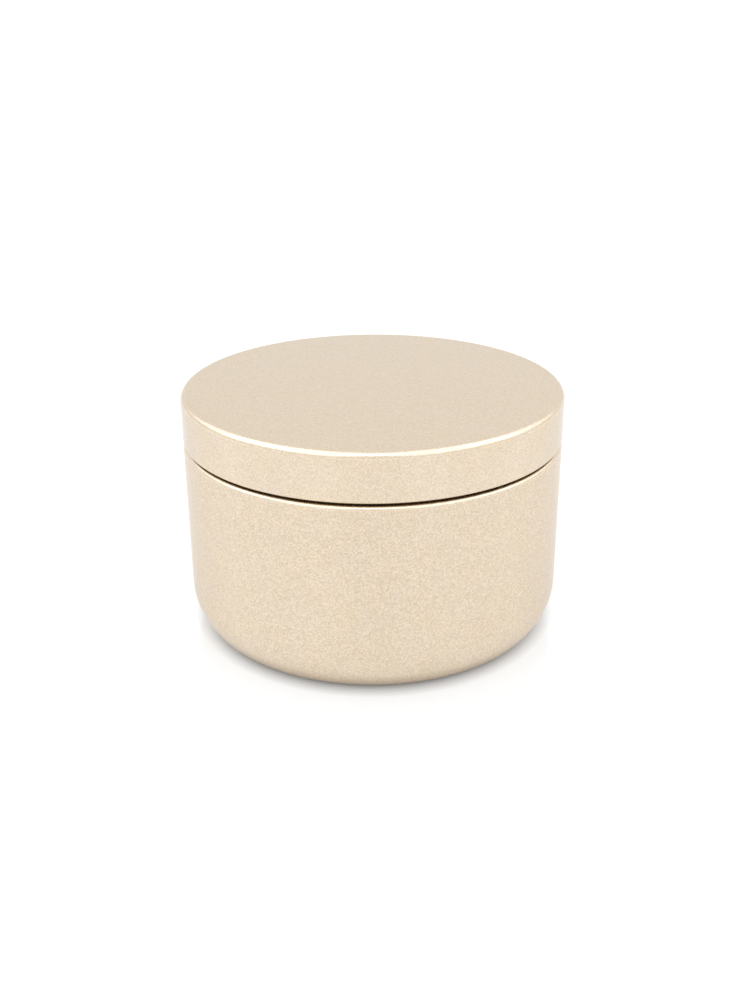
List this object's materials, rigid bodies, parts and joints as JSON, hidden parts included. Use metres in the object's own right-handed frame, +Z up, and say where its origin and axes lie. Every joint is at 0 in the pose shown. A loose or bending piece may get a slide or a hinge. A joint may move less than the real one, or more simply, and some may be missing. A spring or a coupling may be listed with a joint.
{
  "type": "candle tin",
  "caption": "Round drawn-metal candle tin with a flush slip-on lid, rounded bottom corner and recessed base, filled with wax round an upright braided wick in a stamped sustainer.",
  "frame": {"origin": "centre of the circle that the tin stands on, at the height of the surface under it", "axes": "+Z up along the axis of the tin; X and Y are any two directions across it, because it is round"},
  "size_m": [0.078, 0.078, 0.05],
  "materials": {
    "champagne_lacquer": "satin champagne-gold metallic lacquer on tinplate, fine flake",
    "cream_wax": "cream soy wax, smooth and waxy with faint frosting",
    "cotton_braid": "braided cotton, lightly waxed",
    "paper_core": "twisted paper strand, waxed",
    "bright_steel": "bright tinplate, stamped",
    "white_foam": "closed-cell adhesive foam, matt white"
  },
  "bodies": {
    "tin": {"tin_body": "champagne_lacquer", "wax_fill": "cream_wax", "wick_braid": "cotton_braid", "wick_core": "paper_core", "wick_sustainer": "bright_steel", "wick_sticker": "white_foam"},
    "lid": {"lid": "champagne_lacquer"}
  },
  "joints": [
    {"name": "lid_lift", "type": "slide", "parent": "tin", "child": "lid", "axis": [0, 0, 1], "range_m": [0, 0.035]}
  ]
}
